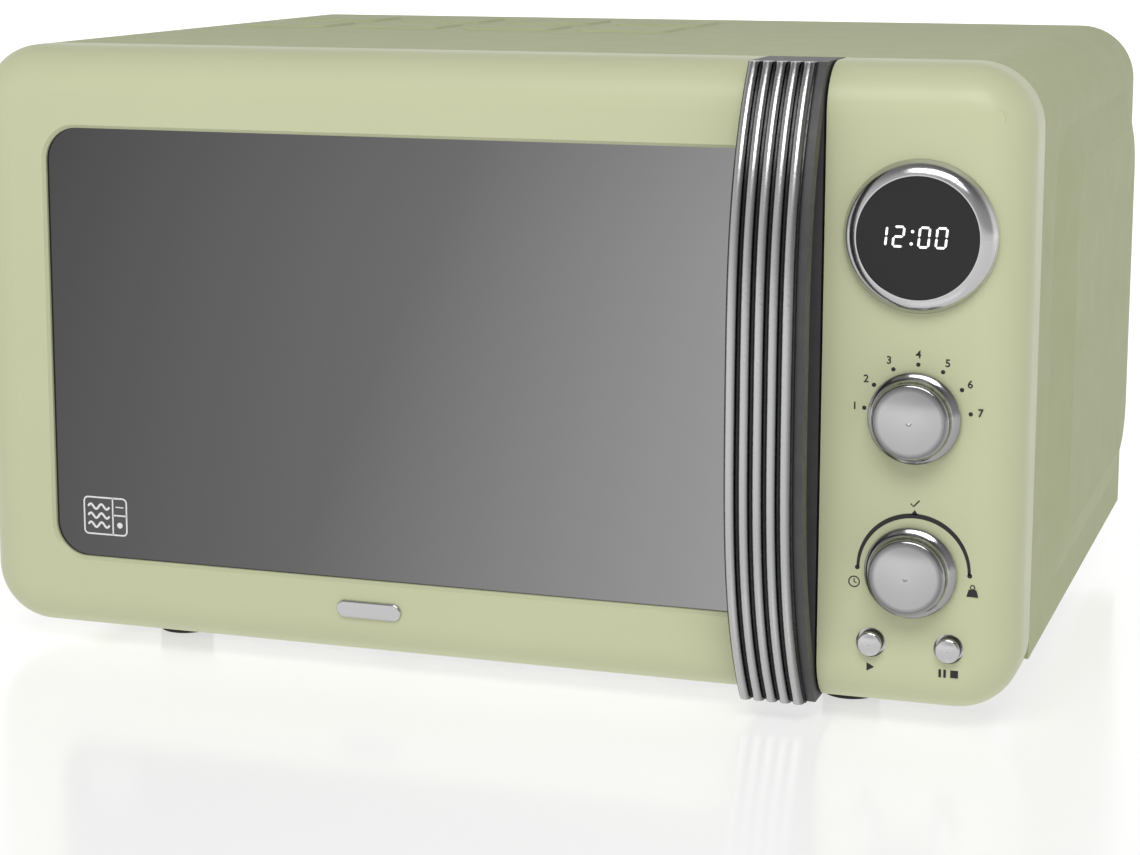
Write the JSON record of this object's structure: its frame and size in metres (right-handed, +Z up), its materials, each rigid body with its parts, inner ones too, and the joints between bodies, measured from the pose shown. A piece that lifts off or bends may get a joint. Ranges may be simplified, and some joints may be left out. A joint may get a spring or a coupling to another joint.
{
  "type": "microwave oven",
  "caption": "Countertop microwave oven with a side-hung mirror-glass door, bowed ribbed bright handle, round display, two turned knobs and two push buttons.",
  "frame": {"origin": "centre of the footprint on the surface that the feet stand on", "axes": "+X to the right seen from the front, +Y to the back, +Z up"},
  "size_m": [0.46, 0.371, 0.263],
  "materials": {
    "painted_front": "gloss",
    "painted_steel": "satin",
    "chrome": "polished",
    "black_plastic": "satin",
    "dark_glass": "polished",
    "display_glass": "gloss",
    "zinc_steel": "satin",
    "enamel": "satin",
    "clear_glass": "polished",
    "white_plastic": "satin",
    "rubber": "matte",
    "aluminium": "satin",
    "copper_winding": "enamelled",
    "circuit_board": "satin",
    "mica": "matte",
    "iron_core": "satin"
  },
  "bodies": {
    "cabinet": {"outer_cabinet": "painted_steel", "base_plate": "zinc_steel", "motor_hatch": "zinc_steel", "feet": "rubber", "screws": "zinc_steel", "rear_panel": "painted_steel", "cord_gland": "black_plastic", "front_plate": "painted_steel", "lower_hinge_bracket": "zinc_steel", "upper_hinge_bracket": "zinc_steel", "cavity_liner": "enamel", "waveguide_cover": "mica", "waveguide": "zinc_steel", "magnetron_yoke": "zinc_steel", "magnetron_tube": "copper_winding", "magnetron_fins": "aluminium", "transformer_core": "iron_core", "transformer_windings": "copper_winding", "capacitor": "aluminium", "hv_diode": "black_plastic", "fan_shroud": "white_plastic", "fan_motor": "iron_core", "interlock_holder": "white_plastic", "microswitches": "black_plastic", "cavity_lamp": "clear_glass", "filter_board": "circuit_board", "thermal_cutout": "black_plastic", "turntable_motor": "zinc_steel", "control_panel": "painted_front", "display_bezel": "chrome", "display_window": "display_glass", "control_board": "circuit_board", "encoders": "zinc_steel", "push_switches": "black_plastic"},
    "door": {"door_frame": "painted_front", "door_glass": "dark_glass", "door_plate": "zinc_steel", "door_screen": "black_plastic", "inner_window": "clear_glass", "choke_cover": "black_plastic", "door_badge": "chrome", "handle_body": "black_plastic", "handle_cover": "chrome", "latch_spring": "zinc_steel"},
    "latch": {"latch_bar": "white_plastic"},
    "selector": {"selector_shaft": "zinc_steel", "selector_knob": "chrome"},
    "timer_press": {"timer_plunger": "white_plastic"},
    "timer": {"timer_shaft": "zinc_steel", "timer_knob": "chrome"},
    "start_button": {"start_button": "chrome"},
    "cancel_button": {"cancel_button": "chrome"},
    "coupler": {"coupler": "white_plastic"},
    "tray": {"glass_tray": "clear_glass"},
    "ring": {"roller_ring": "white_plastic"},
    "roller_1": {"roller_1": "white_plastic"},
    "roller_2": {"roller_2": "white_plastic"},
    "roller_3": {"roller_3": "white_plastic"},
    "fan": {"fan_blade": "white_plastic"}
  },
  "joints": [
    {"name": "door_hinge", "type": "hinge", "parent": "cabinet", "child": "door", "pos_m": [-0.216, -0.1293, 0.135], "axis": [0, 0, -1], "range_deg": [0, 97]},
    {"name": "latch_lift", "type": "slide", "parent": "door", "child": "latch", "axis": [0, 0, 1], "range_m": [0, 0.005], "stiffness_N_per_m": 400, "springref_m": -0.004, "deforming": ["latch_spring"]},
    {"name": "selector_turn", "type": "hinge", "parent": "cabinet", "child": "selector", "pos_m": [0.1848, -0.1535, 0.1265], "axis": [0, -1, 0], "range_deg": [-82.5, 82.5]},
    {"name": "timer_push", "type": "slide", "parent": "cabinet", "child": "timer_press", "axis": [0, 1, 0], "range_m": [0, 0.0008], "stiffness_N_per_m": 1200, "springref_m": -0.001},
    {"name": "timer_turn", "type": "hinge", "parent": "timer_press", "child": "timer", "pos_m": [0.1848, -0.1535, 0.0655], "axis": [0, -1, 0], "continuous": true},
    {"name": "start_push", "type": "slide", "parent": "cabinet", "child": "start_button", "axis": [0, 1, 0], "range_m": [0, 0.0015], "stiffness_N_per_m": 600, "springref_m": -0.001},
    {"name": "cancel_push", "type": "slide", "parent": "cabinet", "child": "cancel_button", "axis": [0, 1, 0], "range_m": [0, 0.0015], "stiffness_N_per_m": 600, "springref_m": -0.001},
    {"name": "turntable_spin", "type": "hinge", "parent": "cabinet", "child": "coupler", "pos_m": [-0.043, 0.0275, 0.044], "axis": [0, 0, 1], "continuous": true},
    {"name": "tray_lift", "type": "slide", "parent": "coupler", "child": "tray", "axis": [0, 0, 1], "range_m": [0, 0.04]},
    {"name": "ring_spin", "type": "hinge", "parent": "cabinet", "child": "ring", "pos_m": [-0.043, 0.0275, 0.0533], "axis": [0, 0, 1], "continuous": true},
    {"name": "fan_spin", "type": "hinge", "parent": "cabinet", "child": "fan", "pos_m": [0.168, 0.1305, 0.176], "axis": [0, -1, 0], "continuous": true},
    {"name": "roller_spin_1", "type": "hinge", "parent": "ring", "child": "roller_1", "pos_m": [0.04187, 0.0765, 0.0533], "axis": [0.866, 0.5, 0], "continuous": true},
    {"name": "roller_spin_2", "type": "hinge", "parent": "ring", "child": "roller_2", "pos_m": [-0.12787, 0.0765, 0.0533], "axis": [-0.866, 0.5, 0], "continuous": true},
    {"name": "roller_spin_3", "type": "hinge", "parent": "ring", "child": "roller_3", "pos_m": [-0.043, -0.0705, 0.0533], "axis": [0, -1, 0], "continuous": true}
  ],
  "couplings": [
    {"joint": "ring_spin", "follows": "turntable_spin", "ratio": 0.5},
    {"joint": "roller_spin_1", "follows": "turntable_spin", "ratio": -5.4444},
    {"joint": "roller_spin_2", "follows": "turntable_spin", "ratio": -5.4444},
    {"joint": "roller_spin_3", "follows": "turntable_spin", "ratio": -5.4444}
  ]
}
